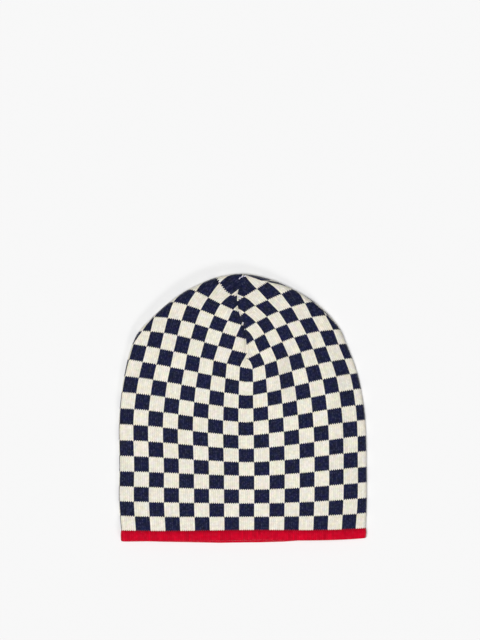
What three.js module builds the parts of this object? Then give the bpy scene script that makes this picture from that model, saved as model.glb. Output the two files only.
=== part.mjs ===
// A knitted beanie that lies flat: the mouth faces -Y, the crown +Y, and the underside rests on z = 0.
// Millimetres. The knit is a bag of four gores. Its rows run straight round below, and above them a
// dart is sewn up between each two gores: at the middle of the front and the back, and at both sides.

import * as THREE from "three";
import { ParametricGeometry } from "three/addons/geometries/ParametricGeometry.js";
import { mergeVertices } from "three/addons/utils/BufferGeometryUtils.js";

// The knit
const WALL = 1.8;
const APEX_ROW = 18;
const DART_ROW = 12;

// How the bag lies: the radius of its folded edge, and how far the upper layer bulges above it
const FOLD_RADIUS = 2.5;
const APEX_FOLD_RADIUS = 3.8;
const MOUTH_BULGE = 5.2;
const CROWN_BULGE = 6.6;
const BULGE_REACH = 60;
const BULGE_POWER = 2.2;
const INSET_REACH = 14;

// The sewn darts pull a groove into the knit, with a soft valley beside it
const GROOVE = { depth: 0.9, reach: 1.7 };
const VALLEY = { depth: 1.1, reach: 9 };
const DART_FADE = 6;

// The band along the mouth
const SEAM_GAP = 0.3;
const BAND_THICKNESS = 2.6;
const BAND_HEIGHT = 8.2;
const BAND_SAG = 1.9;
const BAND_TUCK = 0.8;
const BAND_ROUND = 1.0;

// Facets: columns in each quarter of a row, and steps from the mouth to the apex, which crowd
// together towards the apex
const QUARTER_COLUMNS = 18;
const OUTSIDE = { steps: 24, crowding: 2.2 };
const INSIDE = { steps: 16, crowding: 1.4 };
const OUTLINE_STEPS = 120;
const ROUND_STEPS = 2;

// Where the rows of the knit lie, seen from above. A row is counted in checks up from the band. It
// leaves the dart line at the middle, and runs out to the folded edge on the left and on the right.
// rise: how steeply it climbs, in degrees: at the left fold, left and right of the dart line, at the
// right fold.
const STATIONS = [
  { row: 0, left: [-107.5, -108.5], dart: [3, -108], right: [108.3, -106.5], rise: [0, 0, 0, 1] },
  { row: 2, left: [-109.5, -82.3], dart: [3, -83.8], right: [109.1, -79.3], rise: [1.5, 0.5, 1, 3] },
  { row: 4, left: [-109.1, -56], dart: [3, -59.5], right: [109, -52], rise: [3, 1, 2, 5] },
  { row: 8, left: [-108.3, -0.5], dart: [2.5, -12.5], right: [106.2, 3], rise: [6, 4, 4, 7] },
  { row: 10, left: [-104.4, 28], dart: [2.5, 11], right: [100.7, 30.5], rise: [9, 6, 6, 9] },
  { row: 12, left: [-96.7, 56], dart: [3, 35], right: [91, 56.5], rise: [11, 11, 22, 7] },
  { row: 13, left: [-91, 67], dart: [3.5, 48], right: [85.5, 69], rise: [8, 11, 26, 6] },
  { row: 14, left: [-79, 79], dart: [2.5, 60.5], right: [75.2, 81.7], rise: [7, 11, 30, 8] },
  { row: 15, left: [-63.5, 92.5], dart: [0.5, 72.5], right: [61.5, 93.8], rise: [9, 14, 32, 13] },
  { row: 16, left: [-46.5, 104], dart: [-2.5, 84.5], right: [45.8, 103.7], rise: [20, 20, 34, 15] },
  { row: 17, left: [-23, 114.2], dart: [-3.5, 97.5], right: [26.5, 111.9], rise: [30, 30, 34, 25] },
  { row: 18, left: [0, 117.9], dart: [0, 117.9], right: [0, 117.9], rise: [40, 40, 40, 40] },
];

const LEFT = -1;
const RIGHT = 1;
const APEX_INWARD = new THREE.Vector2(0, -1);

function clamp01(x) {
  return Math.min(1, Math.max(0, x));
}

function smooth(x) {
  const t = clamp01(x);
  return t * t * (3 - 2 * t);
}

// A cubic between two values with the given slopes, at t from 0 to 1.
function hermite(a, slopeA, b, slopeB, t) {
  const rest = 1 - t;
  return (
    a * rest * rest * (1 + 2 * t) +
    slopeA * t * rest * rest +
    b * t * t * (3 - 2 * t) -
    slopeB * t * t * rest
  );
}

const stationNumbers = STATIONS.map(({ left, dart, right, rise }) => [...left, ...dart, ...right, ...rise]);
const LEFT_Y = 1;
const RIGHT_Y = 5;

// How fast a number of the table changes from row to row. The folded edge is level at the apex.
function slopeAt(index, column) {
  const change = (a, b) =>
    (stationNumbers[b][column] - stationNumbers[a][column]) / (STATIONS[b].row - STATIONS[a].row);
  const last = STATIONS.length - 1;
  if (index === 0) return change(0, 1);
  if (index === last) return column === LEFT_Y || column === RIGHT_Y ? 0 : change(last - 1, last);
  const before = STATIONS[index].row - STATIONS[index - 1].row;
  const after = STATIONS[index + 1].row - STATIONS[index].row;
  return (change(index - 1, index) * after + change(index, index + 1) * before) / (before + after);
}

// The fold and dart points of any row, by a smooth curve through the stations.
function stationAt(row) {
  const last = STATIONS.length - 2;
  const index = Math.min(last, STATIONS.findLastIndex((station) => station.row <= row));
  const span = STATIONS[index + 1].row - STATIONS[index].row;
  const t = (row - STATIONS[index].row) / span;
  const [leftX, leftY, dartX, dartY, rightX, rightY, ...rise] = stationNumbers[index].map(
    (value, column) =>
      hermite(
        value,
        slopeAt(index, column) * span,
        stationNumbers[index + 1][column],
        slopeAt(index + 1, column) * span,
        t,
      ),
  );
  return {
    left: new THREE.Vector2(leftX, leftY),
    dart: new THREE.Vector2(dartX, dartY),
    right: new THREE.Vector2(rightX, rightY),
    rise: rise.map(THREE.MathUtils.degToRad),
  };
}

// A point of a row seen from above, at share t of the way from the dart line to the fold.
function planPoint(row, side, t) {
  const station = stationAt(row);
  const start = station.dart;
  const end = side === LEFT ? station.left : station.right;
  const riseStart = side === LEFT ? station.rise[1] : station.rise[2];
  const riseEnd = side === LEFT ? station.rise[0] : station.rise[3];
  const length = start.distanceTo(end);
  const x = hermite(
    start.x,
    side * length * Math.cos(riseStart),
    end.x,
    side * length * Math.cos(riseEnd),
    t,
  );
  const y = hermite(start.y, length * Math.sin(riseStart), end.y, length * Math.sin(riseEnd), t);
  return { point: new THREE.Vector2(x, y), length };
}

// The folded edge seen from above, from the left of the mouth over the apex to the right.
const outline = [];
for (let step = 0; step <= OUTLINE_STEPS; step++) {
  outline.push(stationAt((APEX_ROW * step) / OUTLINE_STEPS).left);
}
for (let step = OUTLINE_STEPS - 1; step >= 0; step--) {
  outline.push(stationAt((APEX_ROW * step) / OUTLINE_STEPS).right);
}

// How far a point lies inside the folded edge, and the direction straight away from it.
function fromFold(point) {
  let best = { distance: Infinity, inward: null };
  for (let i = 0; i + 1 < outline.length; i++) {
    const along = outline[i + 1].clone().sub(outline[i]);
    const offset = point.clone().sub(outline[i]);
    const share = clamp01(offset.dot(along) / along.lengthSq());
    const distance = offset.addScaledVector(along, -share).length();
    if (distance < best.distance) {
      best = { distance, inward: new THREE.Vector2(along.y, -along.x).normalize() };
    }
  }
  return best;
}

function foldRadius(row) {
  return THREE.MathUtils.lerp(FOLD_RADIUS, APEX_FOLD_RADIUS, smooth((row - 10) / 7));
}

function bulge(row, distance) {
  const height = THREE.MathUtils.lerp(MOUTH_BULGE, CROWN_BULGE, smooth(row / 6));
  return height * (1 - (1 - clamp01(distance / BULGE_REACH)) ** BULGE_POWER);
}

// How deep the darts pull the knit in, at a distance from the dart line and from the fold.
function dartGroove(row, fromDart) {
  return GROOVE.depth * smooth(row - DART_ROW) * Math.exp(-((fromDart / GROOVE.reach) ** 2));
}

function dartValley(row, fromDart) {
  return VALLEY.depth * smooth((row - DART_ROW + 1) / 2) * Math.exp(-((fromDart / VALLEY.reach) ** 2));
}

// A quarter circle's height at a distance from its lowest point.
function quarterRound(distance, radius) {
  return radius * Math.sqrt(1 - (1 - clamp01(distance / radius)) ** 2);
}

// A point of the knit. turn goes once round the row in four quarters: front dart to right fold,
// on to the back dart, to the left fold, and back to the front dart.
function knitPoint(row, turn, isInner) {
  const quarter = Math.min(3, Math.floor(turn * 4));
  const share = turn * 4 - quarter;
  const side = quarter < 2 ? RIGHT : LEFT;
  const isTop = quarter === 0 || quarter === 3;
  const isOutward = quarter === 0 || quarter === 2;
  const steps = isOutward ? share : 1 - share;
  const t = (1 - Math.cos(Math.PI * steps)) / 2;

  const { point, length } = planPoint(row, side, t);
  const fold = fromFold(point);
  const inward = row === APEX_ROW ? APEX_INWARD : fold.inward;
  const distance = row === APEX_ROW || steps === 1 ? 0 : fold.distance;
  const radius = foldRadius(row);
  const inset = isInner ? WALL * (1 - clamp01(distance / INSET_REACH)) : 0;
  const round = isInner
    ? quarterRound(distance + inset - WALL, radius - WALL)
    : quarterRound(distance, radius);
  const inFromFold = 1 - Math.exp(-distance / DART_FADE);
  const groove = dartGroove(row, t * length) * inFromFold;
  const valley = dartValley(row, t * length) * inFromFold;
  point.addScaledVector(inward, inset);
  const z = isTop
    ? radius + round + bulge(row, distance) - groove - valley
    : radius - round + groove;
  return new THREE.Vector3(point.x, point.y, z);
}

// A closed mesh from a function of two shares. Points that coincide are joined, and the triangles
// that shrink to nothing at a pole are left out.
function closedGeometry(pointAt, around, along) {
  const surface = new ParametricGeometry((u, v, target) => target.copy(pointAt(u, v)), around, along);
  surface.deleteAttribute("normal");
  surface.deleteAttribute("uv");
  const merged = mergeVertices(surface, 1e-3);
  const corners = Array.from(merged.index.array);
  const kept = [];
  for (let i = 0; i < corners.length; i += 3) {
    const triangle = corners.slice(i, i + 3);
    if (new Set(triangle).size === 3) kept.push(...triangle);
  }
  merged.setIndex(kept);
  merged.computeVertexNormals();
  return merged;
}

function rowOfStep(step, { steps, crowding }) {
  return APEX_ROW * (1 - (1 - step / steps) ** crowding);
}

// The crown: one knit bag. Its inside runs from the apex down to the mouth, its outside back up.
function makeCrown() {
  const along = INSIDE.steps + 1 + OUTSIDE.steps;
  const pointAt = (turn, share) => {
    const step = Math.round(share * along);
    const isInner = step <= INSIDE.steps;
    const row = isInner
      ? rowOfStep(INSIDE.steps - step, INSIDE)
      : rowOfStep(step - INSIDE.steps - 1, OUTSIDE);
    return knitPoint(row, turn, isInner);
  };
  const material = new THREE.MeshStandardMaterial({ color: 0xe9e4d5, roughness: 0.95, metalness: 0 });
  const crown = new THREE.Mesh(closedGeometry(pointAt, 4 * QUARTER_COLUMNS, along), material);
  crown.name = "crown";
  return crown;
}

// A rectangle with round corners as a closed ring of points, its middle at the origin.
function roundedRing(halfWidth, halfHeight) {
  const corners = [
    { x: 1, y: 1 },
    { x: -1, y: 1 },
    { x: -1, y: -1 },
    { x: 1, y: -1 },
  ];
  return corners.flatMap(({ x, y }, index) =>
    Array.from({ length: ROUND_STEPS + 1 }, (_, step) => {
      const angle = (Math.PI / 2) * (index + step / ROUND_STEPS);
      return new THREE.Vector2(
        x * (halfWidth - BAND_ROUND) + BAND_ROUND * Math.cos(angle),
        y * (halfHeight - BAND_ROUND) + BAND_ROUND * Math.sin(angle),
      );
    }),
  );
}

// The edge band: a knit tube pressed flat, which runs once round the mouth. It hangs from the
// crown's lower edge, a little further down at the middle than at the folds, and tucks in there.
function makeEdgeBand() {
  const unitRing = roundedRing(BAND_THICKNESS / 2, BAND_HEIGHT / 2);
  const pointAt = (turn, share) => {
    const outside = knitPoint(0, turn % 1, false);
    const inside = knitPoint(0, turn % 1, true);
    const inward = inside.clone().sub(outside).setY(0).normalize();
    const { x: across, y: up } = unitRing[Math.round(share * unitRing.length) % unitRing.length];
    const down = (BAND_HEIGHT / 2 - up) / BAND_HEIGHT;
    const sag = BAND_SAG * (1 - (outside.x / STATIONS[0].right[0]) ** 2);
    const depth = BAND_THICKNESS / 2 - across + BAND_TUCK * Math.abs(inward.x);
    return outside
      .addScaledVector(inward, depth)
      .add(new THREE.Vector3(0, -SEAM_GAP - down * (BAND_HEIGHT + sag), 0));
  };
  const material = new THREE.MeshStandardMaterial({ color: 0xc40e2c, roughness: 0.9, metalness: 0 });
  const geometry = closedGeometry(pointAt, 4 * QUARTER_COLUMNS, unitRing.length);
  const band = new THREE.Mesh(geometry, material);
  band.name = "edge_band";
  return band;
}

const beanie = new THREE.Group();
beanie.add(makeCrown(), makeEdgeBand());

export default beanie;
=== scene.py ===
from collections import namedtuple
from math import cos, pi, radians, sin

import bmesh
import bpy
import numpy as np
from mathutils import Matrix, Vector
from mathutils.bvhtree import BVHTree


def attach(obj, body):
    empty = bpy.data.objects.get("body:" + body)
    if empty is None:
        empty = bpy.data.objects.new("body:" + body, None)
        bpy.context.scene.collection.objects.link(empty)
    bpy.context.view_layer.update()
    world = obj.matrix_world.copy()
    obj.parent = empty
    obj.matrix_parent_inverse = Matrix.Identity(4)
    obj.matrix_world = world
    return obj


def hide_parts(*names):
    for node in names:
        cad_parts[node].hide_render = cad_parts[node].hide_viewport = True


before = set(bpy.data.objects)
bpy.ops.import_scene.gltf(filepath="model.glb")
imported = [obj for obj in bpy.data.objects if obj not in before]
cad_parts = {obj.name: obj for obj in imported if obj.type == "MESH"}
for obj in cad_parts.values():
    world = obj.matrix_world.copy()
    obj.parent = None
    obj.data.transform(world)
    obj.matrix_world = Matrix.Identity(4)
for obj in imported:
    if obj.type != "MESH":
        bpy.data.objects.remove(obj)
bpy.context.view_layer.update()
MM = 0.001


# The crown is a bag of fine two-colour jacquard, knitted as four gores and sewn up by four darts that
# meet at the apex. Each gore starts here as a flat panel, counted in checks, and is laid on the table
# as the photo shows it: the front over the back, with a soft round fold down each side.
GORE_CHECKS = 8.5
CHECK_ROWS = 18
DART_ROW = 12
WALES_PER_CHECK = 7
COURSES_PER_CHECK = 10
CHECK_WIDTH = 13 * MM
WALL = 1.8 * MM
WALE_RELIEF = 0.3 * MM
FOLD_RADIUS = 2.5 * MM
APEX_FOLD_RADIUS = 3.8 * MM
APEX_FOLD_START = 10
APEX_FOLD_ROWS = 7
MOUTH_BULGE = 5.2 * MM
CROWN_BULGE = 6.6 * MM
BULGE_ROWS = 6
BULGE_REACH = 60 * MM
BULGE_POWER = 2.2
GROOVE_DEPTH = 2.2 * MM
GROOVE_REACH = 1.5 * MM
VALLEY_DEPTH = 1.1 * MM
VALLEY_REACH = 9 * MM
VALLEY_ROWS = 2
DART_FADE = 6 * MM
FRONT_RIGHT = 1
FRONT_LEFT = -1

# Two long low swells of the top layer with a dip between them. Each has its middle, the turn of its
# length in degrees, its half length, its half width and its height, in millimetres.
PUCKERS = [
    (31, 26, 96, 28, 9, 3),
    (46, 24, 96, 26, 8, -2.4),
    (77, 15, 91, 62, 11, 2.8),
]

Station = namedtuple(
    "Station",
    "row left left_checks left_bow dart right right_checks right_bow rise left_slip right_slip",
)
STATIONS = [
    Station(0, (-107.5, -108.15), 8.5, (0.3, -0.3), (3, -107.3), (108.3, -106), 8.25, (1.3, -0.3),
            (0, 0, 1, 3), (0, 0), (0, 0)),
    Station(2, (-109.5, -82.3), 8.5, (0.3, 0), (3, -83.8), (109.1, -79.3), 8.15, (1, -0.5),
            (1, 0, 1, 3), (0, 0), (0, 0)),
    Station(4, (-109.1, -56), 8.5, (0, 0.5), (3, -59.5), (109, -52), 8.13, (1.1, -0.5),
            (1, 0, 1, 2), (0, 0), (0, 0)),
    Station(8, (-108.7, -0.5), 8.5, (-0.5, 0.5), (2.5, -12.5), (106.2, 3), 8.07, (0.6, 0.5),
            (2, 2, 4, 6), (0, 0), (0, 0)),
    Station(10, (-104.9, 28), 8.55, (0, 1), (2.5, 11), (100.7, 30.5), 8.03, (0, 1),
            (7, 5, 5, 8), (0, 0), (0, 0.05)),
    Station(12, (-97.4, 56.3), 8.55, (0.5, 0.5), (3, 35), (91, 56.5), 8.1, (-1, 0),
            (10, 12, 17, 4), (0, 0), (0, 0.25)),
    Station(13, (-91.6, 67.6), 8.35, (-0.3, 2), (3.5, 48), (85.5, 69), 8.0, (-3, 0.2),
            (4, 8, 22, 2), (0.1, 0), (0.3, 0.46)),
    Station(14, (-79.6, 79.9), 7.6, (-0.3, 2), (2.5, 60.5), (75.2, 81.7), 7.7, (-2.5, -1),
            (5, 9, 26, 2), (-0.1, 0), (0.05, 0.35)),
    Station(15, (-64.2, 93.5), 6.75, (-0.5, 0.7), (0.5, 72.5), (61.5, 93.8), 7.05, (-2.5, -1.4),
            (8, 12, 29, 9), (-0.1, 0), (0.27, 0.3)),
    Station(16, (-46.9, 104.8), 6, (-0.5, 0), (-3.6, 84.5), (43, 104.8), 6.22, (-2.4, -1.2),
            (20, 20, 34, 27), (-0.1, 0), (0.2, 0.3)),
    Station(17, (-23.2, 114.8), 4.85, (-0.8, -1.9), (-5.1, 98.5), (24.3, 112.9), 5.85, (1.6, -0.8),
            (45, 18, 30, 22), (0.15, 0), (0.38, 0.28)),
    Station(18, (0, 117.9), 4.25, (0, 0), (0, 117.9), (0, 117.9), 4.95, (0, 0),
            (40, 40, 40, 40), (0, 0), (0.1, 0.2)),
]

# The slip sets in over DART_START of a check where the dart begins. It is strongest at the dart and
# dies out towards the fold, across and up, by these powers for each row below the apex, up to so many
# rows. The back is sewn on a share of a check over from where its darts begin.
DART_START = 0.6
ACROSS_FADE = 4
ACROSS_FADE_ROWS = 2
UP_FADE = 2
UP_FADE_ROWS = 1
BACK_SHIFT = 0.25
BACK_SHIFT_ROWS = 4

# The stations as one table of numbers in metres and radians, and where each value stands in a line.
STATION_ROWS = np.array([station.row for station in STATIONS], float)
STATION_VALUES = np.array(
    [
        [length * MM for point in (s.left, s.left_bow, s.dart, s.right, s.right_bow) for length in point]
        + [radians(angle) for angle in s.rise]
        + [s.left_checks, s.right_checks, *s.left_slip, *s.right_slip]
        for s in STATIONS
    ]
)
LEFT, LEFT_BOW, DART, RIGHT, RIGHT_BOW = (slice(k, k + 2) for k in range(0, 10, 2))
LEFT_RISE, LEFT_DART_RISE, RIGHT_DART_RISE, RIGHT_RISE = range(10, 14)
LEFT_CHECKS, RIGHT_CHECKS = range(14, 16)
LEFT_SLIP, RIGHT_SLIP = slice(16, 18), slice(18, 20)
HEIGHTS_AT_FOLDS = [LEFT.start + 1, RIGHT.start + 1]


def smooth(x):
    """A soft step: 0 up to x = 0, 1 from x = 1 on, and level at both."""
    t = np.clip(x, 0, 1)
    return t * t * (3 - 2 * t)


def hermite(start, start_slope, end, end_slope, t):
    """The curve between two values or points that has the given slope at each."""
    rest = 1 - t
    return (
        start * rest * rest * (1 + 2 * t)
        + start_slope * t * rest * rest
        + end * t * t * (3 - 2 * t)
        - end_slope * t * t * rest
    )


def station_slopes():
    """How fast each value changes from row to row. The folded edge is level at the apex."""
    gaps = np.diff(STATION_ROWS)[:, None]
    change = np.diff(STATION_VALUES, axis=0) / gaps
    inner = (change[:-1] * gaps[1:] + change[1:] * gaps[:-1]) / (gaps[:-1] + gaps[1:])
    last = change[-1:].copy()
    last[0, HEIGHTS_AT_FOLDS] = 0
    return np.concatenate([change[:1], inner, last])


STATION_SLOPES = station_slopes()


def stations_at(rows):
    """The table's values on any rows, by a smooth curve through the stations."""
    k = np.clip(np.searchsorted(STATION_ROWS, rows, side="right") - 1, 0, len(STATIONS) - 2)
    span = (STATION_ROWS[k + 1] - STATION_ROWS[k])[:, None]
    t = (rows - STATION_ROWS[k])[:, None] / span
    return hermite(
        STATION_VALUES[k],
        STATION_SLOPES[k] * span,
        STATION_VALUES[k + 1],
        STATION_SLOPES[k + 1] * span,
        t,
    )


def fold_radius(rows):
    """The radius of the side folds, which are rounder towards the apex."""
    growth = smooth((rows - APEX_FOLD_START) / APEX_FOLD_ROWS)
    return FOLD_RADIUS + (APEX_FOLD_RADIUS - FOLD_RADIUS) * growth


def fold_spare(rows):
    """How much wider the knit is than its outline for each fold, because it turns round there."""
    return (pi / 2 - 1) * fold_radius(rows)


def plan_points(values, rows, side, t):
    """Points of the rows seen from above, at share t of the way from the dart to the fold."""
    if side == FRONT_RIGHT:
        end, bow, rises = values[:, RIGHT], values[:, RIGHT_BOW], (RIGHT_DART_RISE, RIGHT_RISE)
    else:
        end, bow, rises = values[:, LEFT], values[:, LEFT_BOW], (LEFT_DART_RISE, LEFT_RISE)
    dart = values[:, DART]
    length = np.hypot(*(end - dart).T)
    start_slope, end_slope = (
        length[:, None] * np.column_stack([side * np.cos(values[:, rise]), np.sin(values[:, rise])])
        for rise in rises
    )
    t = t[:, None]
    points = hermite(dart, start_slope, end, end_slope, t) + 4 * t * (1 - t) * bow
    points[:, 1] += fold_spare(rows) * smooth(rows - CHECK_ROWS + 1)
    return points, length


# The outline as a fine chain of points, up the left fold to the apex and down the right one. It is
# searched for some thousand points of the knit at a time, to save memory.
OUTLINE_STEPS = 120
POINTS_AT_A_TIME = 4000
left_and_right = stations_at(np.linspace(0, CHECK_ROWS, OUTLINE_STEPS + 1))
OUTLINE = np.concatenate([left_and_right[:, LEFT], left_and_right[-2::-1, RIGHT]])


def from_outline(points):
    """How far inside the folded edge each point lies, and the direction straight away from it."""
    start, along = OUTLINE[:-1], np.diff(OUTLINE, axis=0)
    length = np.hypot(*along.T)
    inward = np.stack([along[:, 1], -along[:, 0]], axis=1) / length[:, None]
    distance = np.empty(len(points))
    direction = np.empty((len(points), 2))
    for chunk in np.array_split(np.arange(len(points)), 1 + len(points) // POINTS_AT_A_TIME):
        offset = points[chunk, None] - start
        share = np.clip((offset * along).sum(2) / length**2, 0, 1)
        offset = offset - share[..., None] * along
        near = np.hypot(offset[..., 0], offset[..., 1]).argmin(axis=1)
        nearest = offset[np.arange(len(chunk)), near]
        side_of = np.sign((nearest * inward[near]).sum(1))
        distance[chunk] = np.hypot(*nearest.T) * np.where(side_of < 0, -1, 1)
        direction[chunk] = inward[near]
    return distance, direction


def dart_checks(rows):
    """How many checks of each gore's edge the darts have taken up at a row."""
    share = np.clip((rows - DART_ROW) / (CHECK_ROWS - DART_ROW), 0, 1)
    return GORE_CHECKS / 2 * share / (2 - share)


# The fold lies between these shares of the way to the measured edge.
FOLD_BETWEEN = (0.7, 1.5)
HALVINGS = 30


def fold_shares(values, rows, side):
    """The share t at which each row reaches its fold, found by halving the stretch it must lie in."""
    low, high = (np.full(len(rows), share) for share in FOLD_BETWEEN)
    for _ in range(HALVINGS):
        middle = (low + high) / 2
        points, _ = plan_points(values, rows, side, middle)
        inside = from_outline(points)[0] + fold_spare(rows) > 0
        low, high = np.where(inside, middle, low), np.where(inside, high, middle)
    return low


def pucker_height(points):
    """How high the soft puckers of the top layer stand."""
    total = 0
    for x, y, turn, half_length, half_width, height in PUCKERS:
        x_off, y_off = points[:, 0] / MM - x, points[:, 1] / MM - y
        along = x_off * cos(radians(turn)) + y_off * sin(radians(turn))
        across = y_off * cos(radians(turn)) - x_off * sin(radians(turn))
        total = total + height * MM * np.exp(-((along / half_length) ** 2) - (across / half_width) ** 2)
    return total


def first_check(is_back):
    """Where a gore starts, in checks round from the front dart."""
    return GORE_CHECKS if is_back else 0


# The least width of a row, in checks, because the last row at the apex has none.
NEARLY_NONE = 1e-6


def lay(rows, checks, side, is_back, is_inner):
    """Lays points of the knit, counted in rows and in checks from the front dart, on the table.

    It returns their places, and their checks and rows as sewn and as they show.
    """
    mesh_rows, row_of = np.unique(rows, return_inverse=True)
    values = stations_at(mesh_rows)
    taken = dart_checks(mesh_rows)
    shown = values[:, RIGHT_CHECKS if side == FRONT_RIGHT else LEFT_CHECKS]
    fold_share = fold_shares(values, mesh_rows, side)
    fold_checks = taken + fold_share * (shown - taken)
    back_checks = 2 * GORE_CHECKS - 3 * taken
    values, fold_share, fold_checks = values[row_of], fold_share[row_of], fold_checks[row_of]
    taken, back_checks = taken[row_of], back_checks[row_of]

    # Each point's place on its row, and whether it lies in the top layer or below.
    first = first_check(is_back)
    checks = np.clip(checks, first + taken, first + GORE_CHECKS - taken)
    sewn = checks - (2 * taken if is_back else 0)
    is_top = sewn <= fold_checks
    on_top = (sewn - taken) / np.maximum(fold_checks - taken, NEARLY_NONE)
    below = (back_checks - sewn) / np.maximum(back_checks - fold_checks, NEARLY_NONE)
    t = np.clip(np.where(is_top, on_top, below), 0, 1) * fold_share

    # The strip beside the outline rolls round the fold.
    points, length = plan_points(values, rows, side, t)
    distance, inward = from_outline(points)
    radius = fold_radius(rows)
    spare = fold_spare(rows)
    round_fold = np.clip((distance + spare) / radius, 0, pi / 2)
    in_fold = round_fold < pi / 2
    shift = np.where(in_fold, spare + radius * (1 - np.cos(round_fold)) - (distance + spare), 0)
    if is_inner:
        shift = shift + WALL * np.cos(round_fold)
        radius_here = radius - WALL
    else:
        radius_here = radius
    points = points + inward * shift[:, None]

    # The top layer bulges inside the folds and sinks to the dart, with a sharp groove in a soft dip.
    inside = np.maximum(distance, 0)
    bulge = MOUTH_BULGE + (CROWN_BULGE - MOUTH_BULGE) * smooth(rows / BULGE_ROWS)
    bulge = bulge * (1 - (1 - np.clip(inside / BULGE_REACH, 0, 1)) ** BULGE_POWER)
    from_dart = t * length
    near_fold = 1 - np.exp(-inside / DART_FADE)
    groove = GROOVE_DEPTH * smooth(rows - DART_ROW) * np.exp(-((from_dart / GROOVE_REACH) ** 2))
    valley = VALLEY_DEPTH * smooth((rows - DART_ROW + 1) / VALLEY_ROWS)
    valley = valley * np.exp(-((from_dart / VALLEY_REACH) ** 2))
    height = radius_here * np.sin(round_fold)
    top = radius + height + bulge + (pucker_height(points) - groove - valley) * near_fold
    bottom = radius - height + groove * near_fold
    heights = np.where(is_top, top, bottom)

    # The knit's own coordinates, as sewn and with the slip of the checks beside the dart.
    slip = values[:, RIGHT_SLIP if side == FRONT_RIGHT else LEFT_SLIP]
    below_apex = CHECK_ROWS - rows
    across_fade = ACROSS_FADE * np.clip(below_apex, 0, ACROSS_FADE_ROWS)
    fades = np.column_stack([across_fade, UP_FADE * np.clip(below_apex, 0, UP_FADE_ROWS)])
    opened = np.maximum(smooth((rows - DART_ROW) / DART_START), smooth((checks - taken) / DART_START))
    slip = slip * np.where(is_top, opened, 0)[:, None] * (1 - t / fold_share)[:, None] ** fades
    if is_back:
        slip[:, 0] -= BACK_SHIFT * smooth((rows - DART_ROW) / BACK_SHIFT_ROWS)
    flat = np.column_stack([checks, rows])
    return np.column_stack([points, heights]), flat, flat + slip


# The panel's rows run from the apex down the inside, round the mouth's rim and up the outside. They
# stand closer at the rim inside and above the darts, where the knit turns over the crown's edge.
COLUMNS_PER_WALE = 2
GORE_COLUMNS = int(GORE_CHECKS * WALES_PER_CHECK * COLUMNS_PER_WALE)
STEPS_INSIDE = 30
STEPS_BELOW_DARTS = 60
STEPS_ABOVE_DARTS = 80
CROWDING = 1.3
RIM_CHECKS = WALL / CHECK_WIDTH
GORES = [(FRONT_RIGHT, False), (FRONT_RIGHT, True), (FRONT_LEFT, False), (FRONT_LEFT, True)]
MERGE = 0.02 * MM
GRID_HALF = 0.5
GORE_MARGIN = 0.04
PANEL_MARGIN = 0.01


def closing_in(steps):
    """Shares from 1 down to 0, closer together towards 0."""
    return (1 - np.linspace(0, 1, steps + 1)) ** CROWDING


INSIDE_ROWS = CHECK_ROWS * closing_in(STEPS_INSIDE)
ROWS_BELOW_DARTS = np.linspace(0, DART_ROW, STEPS_BELOW_DARTS, endpoint=False)
ROWS_ABOVE_DARTS = DART_ROW + (CHECK_ROWS - DART_ROW) * (1 - closing_in(STEPS_ABOVE_DARTS))
PANEL_ROWS = np.concatenate([INSIDE_ROWS, ROWS_BELOW_DARTS, ROWS_ABOVE_DARTS])


def with_margins(share, margin):
    """A share of the bake's width or height, with a margin kept free at both ends."""
    return margin + (1 - 2 * margin) * share


def flat_uv(place, checks, rows):
    """Each gore laid out flat for the bake, the four side by side with a little space between them."""
    across = (place + with_margins(checks / GORE_CHECKS, GORE_MARGIN)) / len(GORES)
    high = (rows + CHECK_ROWS + RIM_CHECKS) / (2 * CHECK_ROWS + RIM_CHECKS)
    return np.column_stack([across, with_margins(high, PANEL_MARGIN)])


def knit_gore(bag, place, side, is_back):
    """Adds one gore to the bag: a flat panel, two columns to a wale, laid on the table."""
    # The grid is one unit wide and high, so a point's place in it gives its column and its row.
    panel = bmesh.new()
    steps = len(PANEL_ROWS) - 1
    bmesh.ops.create_grid(panel, x_segments=GORE_COLUMNS, y_segments=steps, size=GRID_HALF)
    flat = np.array([vert.co[:2] for vert in panel.verts]) + GRID_HALF
    columns = np.rint(flat[:, 0] * GORE_COLUMNS)
    row_steps = np.rint(flat[:, 1] * steps).astype(int)
    rows = PANEL_ROWS[row_steps]
    is_inner = row_steps < len(INSIDE_ROWS)
    first = first_check(is_back)
    checks = columns / GORE_COLUMNS * GORE_CHECKS + first

    places = np.empty((len(flat), 3))
    sewn, knit = np.empty((2, len(flat), 2))
    for inner in (True, False):
        chosen = is_inner == inner
        laid = lay(rows[chosen], checks[chosen], side, is_back, inner)
        places[chosen], sewn[chosen], knit[chosen] = laid
    for coordinates in (sewn, knit):
        coordinates[is_inner, 1] = -RIM_CHECKS - coordinates[is_inner, 1]
    baked = flat_uv(place, sewn[:, 0] - first, sewn[:, 1])
    knit[:, 0] *= side
    ridges = -np.cos(2 * pi * WALES_PER_CHECK * (knit[:, 0] + 0.5)) / 2

    knit_layer = panel.loops.layers.uv.new("knit")
    bake_layer = panel.loops.layers.uv.new("OFBake")
    ridge_layer = panel.verts.layers.float.new("ridge")
    for vert, at, ridge in zip(panel.verts, places, ridges):
        vert.co = at
        vert[ridge_layer] = ridge
    for face in panel.faces:
        for loop in face.loops:
            loop[knit_layer].uv = knit[loop.vert.index]
            loop[bake_layer].uv = baked[loop.vert.index]
    mesh = bpy.data.meshes.new("gore")
    panel.to_mesh(mesh)
    panel.free()
    bag.from_mesh(mesh)
    bpy.data.meshes.remove(mesh)


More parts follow.
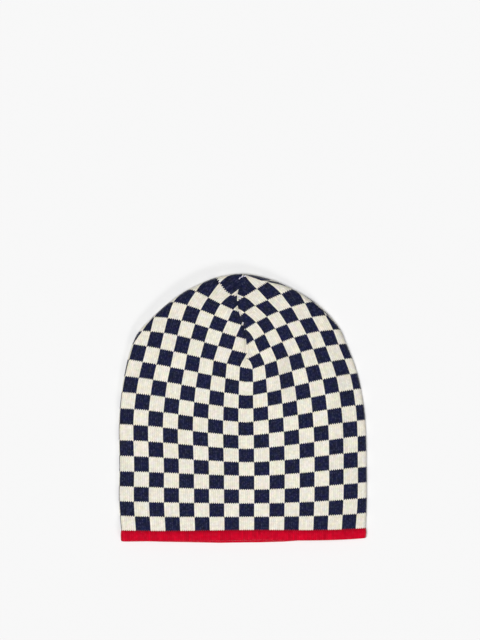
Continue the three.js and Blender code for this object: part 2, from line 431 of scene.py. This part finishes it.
bag = bmesh.new()
for place, (side, is_back) in enumerate(GORES):
    knit_gore(bag, place, side, is_back)
bmesh.ops.remove_doubles(bag, verts=bag.verts, dist=MERGE)
bmesh.ops.dissolve_degenerate(bag, edges=bag.edges, dist=MERGE / 4)
bmesh.ops.recalc_face_normals(bag, faces=bag.faces)
bag.normal_update()
ridge_layer = bag.verts.layers.float["ridge"]
for vert, normal in [(vert, vert.normal.copy()) for vert in bag.verts]:
    vert.co += normal * vert[ridge_layer] * WALE_RELIEF
    vert.co.z = max(vert.co.z, 0)
knit_surface = BVHTree.FromBMesh(bag)


def finish_piece(name, shape, material):
    """Makes a named piece of a finished shape, smooth all over."""
    mesh = bpy.data.meshes.new(name)
    for face in shape.faces:
        face.smooth = True
    shape.to_mesh(mesh)
    shape.free()
    mesh.materials.append(material)
    piece = bpy.data.objects.new(name, mesh)
    bpy.context.scene.collection.objects.link(piece)
    return piece


def set_inputs(node, values):
    """Sets a node's own sockets, by their names."""
    for name, value in values.items():
        node.inputs[name].default_value = value


def feed(tree, socket, value):
    """Sets a socket to a plain value, or links it to another node's output."""
    if isinstance(value, (int, float, tuple)):
        socket.default_value = value
    else:
        tree.links.new(value, socket)


def math_node(tree, operation, *values):
    """A Math node fed with numbers or with other nodes' outputs. Returns its output."""
    node = tree.nodes.new("ShaderNodeMath")
    node.operation = operation
    for socket, value in zip(node.inputs, values):
        feed(tree, socket, value)
    return node.outputs[0]


def vector_node(tree, operation, *values):
    """The same for a Vector Math node, where colours count as vectors."""
    node = tree.nodes.new("ShaderNodeVectorMath")
    node.operation = operation
    for socket, value in zip(node.inputs, values):
        feed(tree, socket, value)
    return node.outputs[0]


# The Mix node has several sockets of the same name, so those for colours go by number.
MIX_FIRST_COLOUR = 6
MIX_SECOND_COLOUR = 7
MIX_RESULT_COLOUR = 2


def mix_colours(tree, share, first, second):
    """A Mix node for colours, fed with plain colours or with other nodes' outputs."""
    node = tree.nodes.new("ShaderNodeMix")
    node.data_type = "RGBA"
    feed(tree, node.inputs["Factor"], share)
    feed(tree, node.inputs[MIX_FIRST_COLOUR], first)
    feed(tree, node.inputs[MIX_SECOND_COLOUR], second)
    return node.outputs[MIX_RESULT_COLOUR]


def place_node(tree, x, y):
    """A place on a plane, put together from two outputs."""
    node = tree.nodes.new("ShaderNodeCombineXYZ")
    tree.links.new(x, node.inputs[0])
    tree.links.new(y, node.inputs[1])
    return node.outputs[0]


def noise_node(tree, place, scale, detail):
    """A Noise Texture at a place, with about so many blotches to a unit."""
    node = tree.nodes.new("ShaderNodeTexNoise")
    set_inputs(node, {"Scale": scale, "Detail": detail})
    tree.links.new(place, node.inputs["Vector"])
    return node


def add_bump(tree, shader, height, strength, distance):
    """Raises a shader's surface by a height that other nodes give."""
    bump = tree.nodes.new("ShaderNodeBump")
    set_inputs(bump, {"Strength": strength, "Distance": distance})
    tree.links.new(height, bump.inputs["Height"])
    tree.links.new(bump.outputs["Normal"], shader.inputs["Normal"])


# The yarn in the stitches. A stitch's two legs lean together, with painted shade at their edges by
# STITCH_SHADE and painted light at their tops. Chance makes each stitch, fibre and patch lighter or
# darker by the given shares.
STITCH_LEAN = 0.75
LEG_ROUNDNESS = 0.6
STITCH_ROUNDNESS = 0.45
STITCH_TOP_LIGHT = 1.04
STITCH_SHADE = 0.36
STITCH_CHANCE = 0.14
FIBRE_SCALE = 2600
FIBRE_DETAIL = 3
FIBRE_CHANCE = 0.24
FIBRE_HEIGHT = 0.3
PATCH_SCALE = 45
PATCH_DETAIL = 2
PATCH_CHANCE = 0.16

# Each wale has its own slow streaks, and painted shade darkens its sides, in the furrows between the
# wales. The colour drifts a little from place to place, as heather does, and pale lint lies on the
# stitches in places, most of it on the crests.
STREAKS_PER_WALE = 0.73
STREAKS_PER_CHECK = 1.3
RIB_SHADE = 0.055
HEATHER_SCALE = 280
HEATHER = (0.14, 0.12, 0.26)
LINT = (0.85, 0.9, 1.4)
LINT_SCALE = 0.8
LINT_DETAIL = 1
LINT_START = 0.44
CREST_LINT = 0.6


def make_knit_group():
    """Plain knitting in two yarns: V-shaped stitches in wales and courses, changing colour by checks."""
    tree = bpy.data.node_groups.new("two-yarn knit", "ShaderNodeTree")
    face = tree.interface
    for place in ("Place in checks", "Fibre place"):
        face.new_socket(place, in_out="INPUT", socket_type="NodeSocketVector")
    for yarn in ("Even yarn", "Odd yarn", "Edge yarn"):
        face.new_socket(yarn, in_out="INPUT", socket_type="NodeSocketColor")
    for amount in ("Odd yarn's extra heather", "Wale streaks", "Lint"):
        face.new_socket(amount, in_out="INPUT", socket_type="NodeSocketFloat")
    face.new_socket("Colour", in_out="OUTPUT", socket_type="NodeSocketColor")
    face.new_socket("Height", in_out="OUTPUT", socket_type="NodeSocketFloat")
    start = tree.nodes.new("NodeGroupInput")
    end = tree.nodes.new("NodeGroupOutput")

    # Which wale and course a point is in, and where in its stitch. Courses dip between the wales.
    split = tree.nodes.new("ShaderNodeSeparateXYZ")
    tree.links.new(start.outputs["Place in checks"], split.inputs[0])
    wale = math_node(tree, "MULTIPLY_ADD", split.outputs[0], WALES_PER_CHECK, WALES_PER_CHECK / 2)
    in_wale = math_node(tree, "FRACT", wale)
    lean = math_node(tree, "COSINE", math_node(tree, "MULTIPLY", in_wale, 2 * pi))
    course = math_node(tree, "MULTIPLY", split.outputs[1], COURSES_PER_CHECK)
    course = math_node(tree, "SUBTRACT", course, math_node(tree, "MULTIPLY", lean, STITCH_LEAN / 2))
    in_course = math_node(tree, "FRACT", course)
    wale_number = math_node(tree, "FLOOR", wale)
    course_number = math_node(tree, "FLOOR", course)

    # Which yarn: odd and even checks differ, and the course past the rim is in the edge's yarn.
    column = math_node(tree, "ADD", wale_number, 0.5)
    column = math_node(tree, "FLOOR", math_node(tree, "DIVIDE", column, WALES_PER_CHECK))
    check_row = math_node(tree, "ADD", course_number, 0.5)
    check_row = math_node(tree, "FLOOR", math_node(tree, "DIVIDE", check_row, COURSES_PER_CHECK))
    both = math_node(tree, "ADD", column, check_row)
    is_odd = math_node(tree, "MULTIPLY", math_node(tree, "FRACT", math_node(tree, "DIVIDE", both, 2)), 2)
    from_edge = math_node(tree, "ABSOLUTE", math_node(tree, "ADD", course_number, 1))
    at_edge = math_node(tree, "LESS_THAN", from_edge, 0.5)
    yarn = mix_colours(tree, is_odd, start.outputs["Even yarn"], start.outputs["Odd yarn"])
    yarn = mix_colours(tree, at_edge, yarn, start.outputs["Edge yarn"])

    # The stitch: two rounded legs side by side, each rounded along its length too.
    leg = math_node(tree, "FRACT", math_node(tree, "MULTIPLY", in_wale, 2))
    leg = math_node(tree, "SINE", math_node(tree, "MULTIPLY", leg, pi))
    leg = math_node(tree, "POWER", leg, LEG_ROUNDNESS)
    along = math_node(tree, "SINE", math_node(tree, "MULTIPLY", in_course, pi))
    along = math_node(tree, "POWER", along, STITCH_ROUNDNESS)
    stitch = math_node(tree, "MULTIPLY", leg, along)

    # Painted shade from the stitch's own form, at the edges of its legs and in the furrows between the
    # wales, and tone that differs by chance.
    chance = tree.nodes.new("ShaderNodeTexWhiteNoise")
    chance.noise_dimensions = "2D"
    tree.links.new(place_node(tree, wale_number, course_number), chance.inputs["Vector"])
    fibre_place = start.outputs["Fibre place"]
    fibres = noise_node(tree, fibre_place, FIBRE_SCALE, FIBRE_DETAIL).outputs["Fac"]
    patches = noise_node(tree, fibre_place, PATCH_SCALE, PATCH_DETAIL).outputs["Fac"]
    light = math_node(tree, "MULTIPLY_ADD", stitch, STITCH_SHADE, STITCH_TOP_LIGHT - STITCH_SHADE)
    chances = [
        (chance.outputs["Value"], STITCH_CHANCE),
        (fibres, FIBRE_CHANCE),
        (patches, PATCH_CHANCE),
    ]
    for draw, amount in chances:
        varied = math_node(tree, "MULTIPLY_ADD", draw, amount, 1 - amount / 2)
        light = math_node(tree, "MULTIPLY", light, varied)
    # Painted shade in the furrows between the wales, lighter on their crests, by RIB_SHADE.
    light = math_node(tree, "MULTIPLY", light, math_node(tree, "MULTIPLY_ADD", lean, -RIB_SHADE, 1))
    streak_place = place_node(
        tree,
        math_node(tree, "MULTIPLY", wale_number, STREAKS_PER_WALE),
        math_node(tree, "MULTIPLY", split.outputs[1], STREAKS_PER_CHECK),
    )
    streak = noise_node(tree, streak_place, scale=1, detail=0).outputs["Fac"]
    streak = math_node(tree, "SUBTRACT", streak, 0.5)
    streak = math_node(tree, "MULTIPLY_ADD", streak, start.outputs["Wale streaks"], 1)
    light = math_node(tree, "MULTIPLY", light, streak)

    # The colour drifts about its middle, and lint lies over it.
    heather = noise_node(tree, fibre_place, HEATHER_SCALE, detail=0).outputs["Color"]
    drift = vector_node(tree, "MULTIPLY_ADD", heather, HEATHER, tuple(-share / 2 for share in HEATHER))
    extra = math_node(tree, "MULTIPLY_ADD", is_odd, start.outputs["Odd yarn's extra heather"], 1)
    tint = vector_node(tree, "MULTIPLY_ADD", drift, extra, (1, 1, 1))
    toned = vector_node(tree, "MULTIPLY", vector_node(tree, "MULTIPLY", yarn, tint), light)
    lint = noise_node(tree, place_node(tree, wale, course), LINT_SCALE, LINT_DETAIL).outputs["Fac"]
    lint = math_node(tree, "MAXIMUM", math_node(tree, "SUBTRACT", lint, LINT_START), 0)
    lint = math_node(tree, "MULTIPLY", lint, math_node(tree, "MULTIPLY_ADD", lean, -CREST_LINT, 1))
    lint = math_node(tree, "MULTIPLY", lint, start.outputs["Lint"])
    toned = vector_node(tree, "ADD", toned, vector_node(tree, "MULTIPLY", LINT, lint))
    tree.links.new(toned, end.inputs["Colour"])
    height = math_node(tree, "MULTIPLY_ADD", fibres, FIBRE_HEIGHT, stitch)
    tree.links.new(height, end.inputs["Height"])
    return tree


knit_group = make_knit_group()


def plain_material(name, finish):
    """A material with the given finish, and its shader."""
    material = bpy.data.materials.new(name)
    material.use_nodes = True
    shader = material.node_tree.nodes["Principled BSDF"]
    set_inputs(shader, finish)
    return material, shader


YARN_FINISH = {
    "Roughness": 0.92,
    "Specular IOR Level": 0.03,
    "Sheen Weight": 0.4,
    "Sheen Roughness": 0.3,
}
YARN_BUMP = 0.5
YARN_BUMP_HEIGHT = 0.35 * MM


def knit_material(name, look):
    """A soft matt yarn finish over the two-yarn knit, which follows the piece's own knit coordinates."""
    material, shader = plain_material(name, YARN_FINISH)
    tree = material.node_tree
    places = tree.nodes.new("ShaderNodeUVMap")
    places.uv_map = "knit"
    space = tree.nodes.new("ShaderNodeTexCoord")
    knit = tree.nodes.new("ShaderNodeGroup")
    knit.node_tree = knit_group
    set_inputs(knit, look)
    tree.links.new(places.outputs["UV"], knit.inputs["Place in checks"])
    tree.links.new(space.outputs["Object"], knit.inputs["Fibre place"])
    tree.links.new(knit.outputs["Colour"], shader.inputs["Base Color"])
    add_bump(tree, shader, knit.outputs["Height"], YARN_BUMP, YARN_BUMP_HEIGHT)
    return material


RED = (0.53, 0.001, 0.018, 1)
CHECKED_LOOK = {
    "Even yarn": (0.766, 0.727, 0.62, 1),
    "Odd yarn": (0.0087, 0.0107, 0.0345, 1),
    "Edge yarn": RED,
    "Odd yarn's extra heather": 3,
    "Wale streaks": 0.17,
    "Lint": 0.08,
}
crown = finish_piece("crown_knit_bag", bag, knit_material("checked knit", CHECKED_LOOK))
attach(crown, "root")
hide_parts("crown")


# The front dart is closed by hand with a pale sewing thread, and a few of its stitches show: three at
# the apex and one in each of two places down the dart. Each lies across the dart, pulled into the knit.
THREAD_RADIUS = 0.5 * MM
THREAD_SINK = 0.1 * MM
THREAD_SEGMENTS = 16
THREAD_RINGS = 10
THREAD_FINISH = {"Roughness": 0.7, "Sheen Weight": 0.3}
THREAD_IN_SHADE = (0.5, 0.47, 0.62, 1)
THREAD_IN_LIGHT = (0.7, 0.67, 0.82, 1)
THREAD_BUMP = 0.5
THREAD_BUMP_HEIGHT = 0.1 * MM
TWIST_PITCH = 0.5 * MM

# How often Blender's diagonal waves repeat in a metre at a scale of 1.
DIAGONAL_WAVES = 10 / (2 * pi)

# The middle of each stitch, its turn in degrees and its length, in millimetres.
THREAD_STITCHES = [
    (1.7, 115.9, 10, 2.6),
    (-0.8, 115.4, 35, 2.4),
    (-2.9, 114.1, 50, 2.6),
    (-2.7, 97.3, -10, 3.6),
    (0.1, 74.6, 50, 1.6),
]


def on_knit(place):
    """The point of the crown's top layer at a place of the plan."""
    return knit_surface.ray_cast(place + Vector((0, 0, 1)), Vector((0, 0, -1)))[0]


threads = bmesh.new()
for x, y, turn, length in THREAD_STITCHES:
    towards = Vector((cos(radians(turn)), sin(radians(turn)), 0))
    middle = Vector((x, y, 0)) * MM
    across_dart = [on_knit(middle + towards * length * MM * share) for share in (-0.5, 0, 0.5)]
    left_end, centre, right_end = across_dart
    centre.z = max(centre.z, (left_end.z + right_end.z) / 2) + THREAD_RADIUS - THREAD_SINK
    turned = (right_end - left_end).to_track_quat("X", "Z").to_matrix().to_4x4()
    size = Matrix.Diagonal((length * MM / 2, THREAD_RADIUS, THREAD_RADIUS, 1))
    shape = Matrix.Translation(centre) @ turned @ size
    bmesh.ops.create_uvsphere(
        threads, u_segments=THREAD_SEGMENTS, v_segments=THREAD_RINGS, radius=1, matrix=shape
    )
bmesh.ops.recalc_face_normals(threads, faces=threads.faces)

thread_material, thread_shader = plain_material("pale sewing thread", THREAD_FINISH)
thread_tree = thread_material.node_tree
thread_space = thread_tree.nodes.new("ShaderNodeTexCoord")
twist = thread_tree.nodes.new("ShaderNodeTexWave")
twist.bands_direction = "DIAGONAL"
set_inputs(twist, {"Scale": 1 / (DIAGONAL_WAVES * TWIST_PITCH)})
thread_tree.links.new(thread_space.outputs["Object"], twist.inputs["Vector"])
# Painted shade and light along the thread's twist, between THREAD_IN_SHADE and THREAD_IN_LIGHT.
twist_shade_and_light = mix_colours(thread_tree, twist.outputs["Fac"], THREAD_IN_SHADE, THREAD_IN_LIGHT)
thread_tree.links.new(twist_shade_and_light, thread_shader.inputs["Base Color"])
add_bump(thread_tree, thread_shader, twist.outputs["Fac"], THREAD_BUMP, THREAD_BUMP_HEIGHT)
dart_thread = finish_piece("dart_thread", threads, thread_material)
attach(dart_thread, "root")


# The edge band is plain red knit, picked up round the crown's open edge and turned in as a narrow
# double hem. It hangs straight down from the rim, and its front and back layers lie slightly apart.
BAND_THICKNESS = 2.6 * MM
BAND_GAP = 0.05 * MM
BAND_ROUND = 1.3 * MM
BAND_SWELL = 0.8
FLUSH = WALL / BAND_THICKNESS
SWELL_OUT = 1.2
SIDE_STEPS = 6
ROUND_STEPS = 6
BAND_TURNS = len(GORES) * GORE_COLUMNS
ROUND_CHECKS = len(GORES) * GORE_CHECKS
BAND_COURSES = 7
SECTION_DROPS = 2.2
BAND_MARGIN = 0.02
BAND_LOOK = {
    "Even yarn": RED,
    "Odd yarn": RED,
    "Edge yarn": RED,
    "Odd yarn's extra heather": 0,
    "Wale streaks": 0.5,
    "Lint": 0.02,
}

# How far each layer hangs below the rim at places across, in millimetres, and how high the rim lies
# where the back layer passes into the front one, at the side folds.
FRONT_DROPS = [
    (-108, 9.9), (-96, 9.5), (-85, 9.2), (-60, 9.2), (-16, 9.4), (17, 9.0), (50, 9.2), (108, 9.0),
]
BACK_DROPS = [
    (-108, 10.3), (-85, 9.9), (-50, 10.9), (-20, 11.9), (15, 11.8), (36, 11.1), (50, 10), (108, 9.0),
]
BACK_HEIGHT = 1 * MM
BACK_TO_FRONT = 2 * MM


def band_section():
    """Round the hem's section: shares of the drop, how far out it stands, its swell and its round.

    It starts flush with the crown's wall and thickens down the drop.
    """
    shares = np.linspace(0, 1, SIDE_STEPS + 1)
    down_outside = [(share, min(1, FLUSH + SWELL_OUT * share), sin(pi * share), 0) for share in shares]
    turn = [(1, cos(a), 0, sin(a)) for a in np.linspace(0, pi, ROUND_STEPS + 1)[1:-1]]
    up_inside = [(share, -min(1, FLUSH + SWELL_OUT * share), 0, 0) for share in shares[::-1]]
    return np.array(down_outside + turn + up_inside + down_outside[:1])


SECTION = band_section()
SECTION_STEPS = len(SECTION) - 1

# The crown's rim, outside and inside, from the middle of the front round to the right, and how far the
# band hangs below each of its points.
turns = np.arange(BAND_TURNS + 1) / BAND_TURNS * ROUND_CHECKS
rim = np.empty((2, BAND_TURNS + 1, 3))
for layer, inner in enumerate((False, True)):
    for side, is_back in GORES:
        from_front = turns if side == FRONT_RIGHT else ROUND_CHECKS - turns
        first = first_check(is_back)
        chosen = (from_front >= first) & (from_front <= first + GORE_CHECKS)
        rim[layer, chosen] = lay(np.zeros(chosen.sum()), from_front[chosen], side, is_back, inner)[0]
outward = rim[0] - rim[1]
outward /= np.linalg.norm(outward, axis=1)[:, None]
middle = (rim[0] + rim[1]) / 2
is_front = smooth((middle[:, 2] - BACK_HEIGHT) / BACK_TO_FRONT)
drops = is_front * np.interp(middle[:, 0] / MM, *zip(*FRONT_DROPS))
drops = (drops + (1 - is_front) * np.interp(middle[:, 0] / MM, *zip(*BACK_DROPS))) * MM

band = bmesh.new()
bmesh.ops.create_grid(band, x_segments=BAND_TURNS, y_segments=SECTION_STEPS, size=GRID_HALF)
band_knit = band.loops.layers.uv.new("knit")
band_bake = band.loops.layers.uv.new("OFBake")
shares_of = {}
for vert in band.verts:
    turn_step = round((vert.co.x + GRID_HALF) * BAND_TURNS)
    section_step = round((vert.co.y + GRID_HALF) * SECTION_STEPS)
    share, out, swell, depth = SECTION[section_step]
    out += BAND_SWELL * swell * max(outward[turn_step][2], 0)
    at = middle[turn_step] + outward[turn_step] * out * BAND_THICKNESS / 2
    at = at - (0, BAND_GAP + share * (drops[turn_step] - BAND_ROUND) + depth * BAND_ROUND, 0)
    at[2] = max(at[2], 0)
    vert.co = at
    shares_of[vert.index] = (turn_step / BAND_TURNS, section_step / SECTION_STEPS)
for face in band.faces:
    for loop in face.loops:
        around, across = shares_of[loop.vert.index]
        course = -across * SECTION_DROPS * BAND_COURSES / COURSES_PER_CHECK
        loop[band_knit].uv = (around * ROUND_CHECKS, course)
        loop[band_bake].uv = (with_margins(around, BAND_MARGIN), with_margins(across, BAND_MARGIN))
bmesh.ops.remove_doubles(band, verts=band.verts, dist=MERGE)
bmesh.ops.recalc_face_normals(band, faces=band.faces)
edge_band = finish_piece("edge_band_hem", band, knit_material("red knit", BAND_LOOK))
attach(edge_band, "root")
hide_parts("edge_band")


# The floor is a wide pale sheet. The light is a soft sky with two soft lamps, a wide strong one high on
# the left and a narrow weak one low on the right. The camera looks straight down, as in the photo.
FLOOR_SIZE = 6.0
PAPER_FINISH = {"Base Color": (0.728, 0.728, 0.728, 1), "Roughness": 0.9, "Specular IOR Level": 0.1}
floor_shape = bmesh.new()
bmesh.ops.create_grid(floor_shape, x_segments=1, y_segments=1, size=FLOOR_SIZE / 2)
paper, _ = plain_material("pale paper", PAPER_FINISH)
floor = finish_piece("floor", floor_shape, paper)

world = bpy.data.worlds.new("soft sky")
world.use_nodes = True
set_inputs(world.node_tree.nodes["Background"], {"Color": (1, 1, 1, 1), "Strength": 0.12})
bpy.context.scene.world = world


def add_lamp(name, towards, strength, spread):
    """A far soft lamp, which lights the table evenly from one direction."""
    data = bpy.data.lights.new(name, "SUN")
    data.energy = strength
    data.angle = radians(spread)
    lamp = bpy.data.objects.new(name, data)
    lamp.rotation_euler = Vector(towards).to_track_quat("Z", "Y").to_euler()
    bpy.context.scene.collection.objects.link(lamp)


add_lamp("lamp high on the left", towards=(-0.17, -0.05, 1.0), strength=3.3, spread=36)
add_lamp("lamp low on the right", towards=(0.5, -1.0, 0.62), strength=0.85, spread=12)

CAMERA_PLACE = (-2.7 * MM, 77.3 * MM, 1885 * MM)
camera_data = bpy.data.cameras.new("camera above")
camera_data.lens = 120
camera_data.sensor_width = 36
camera = bpy.data.objects.new("camera above", camera_data)
camera.location = CAMERA_PLACE
bpy.context.scene.collection.objects.link(camera)
bpy.context.scene.camera = camera
bpy.context.scene.view_settings.view_transform = "Standard"

# The denoiser reads the knit as it is, so the stitches stay sharp.
bpy.context.scene.cycles.denoising_prefilter = "NONE"
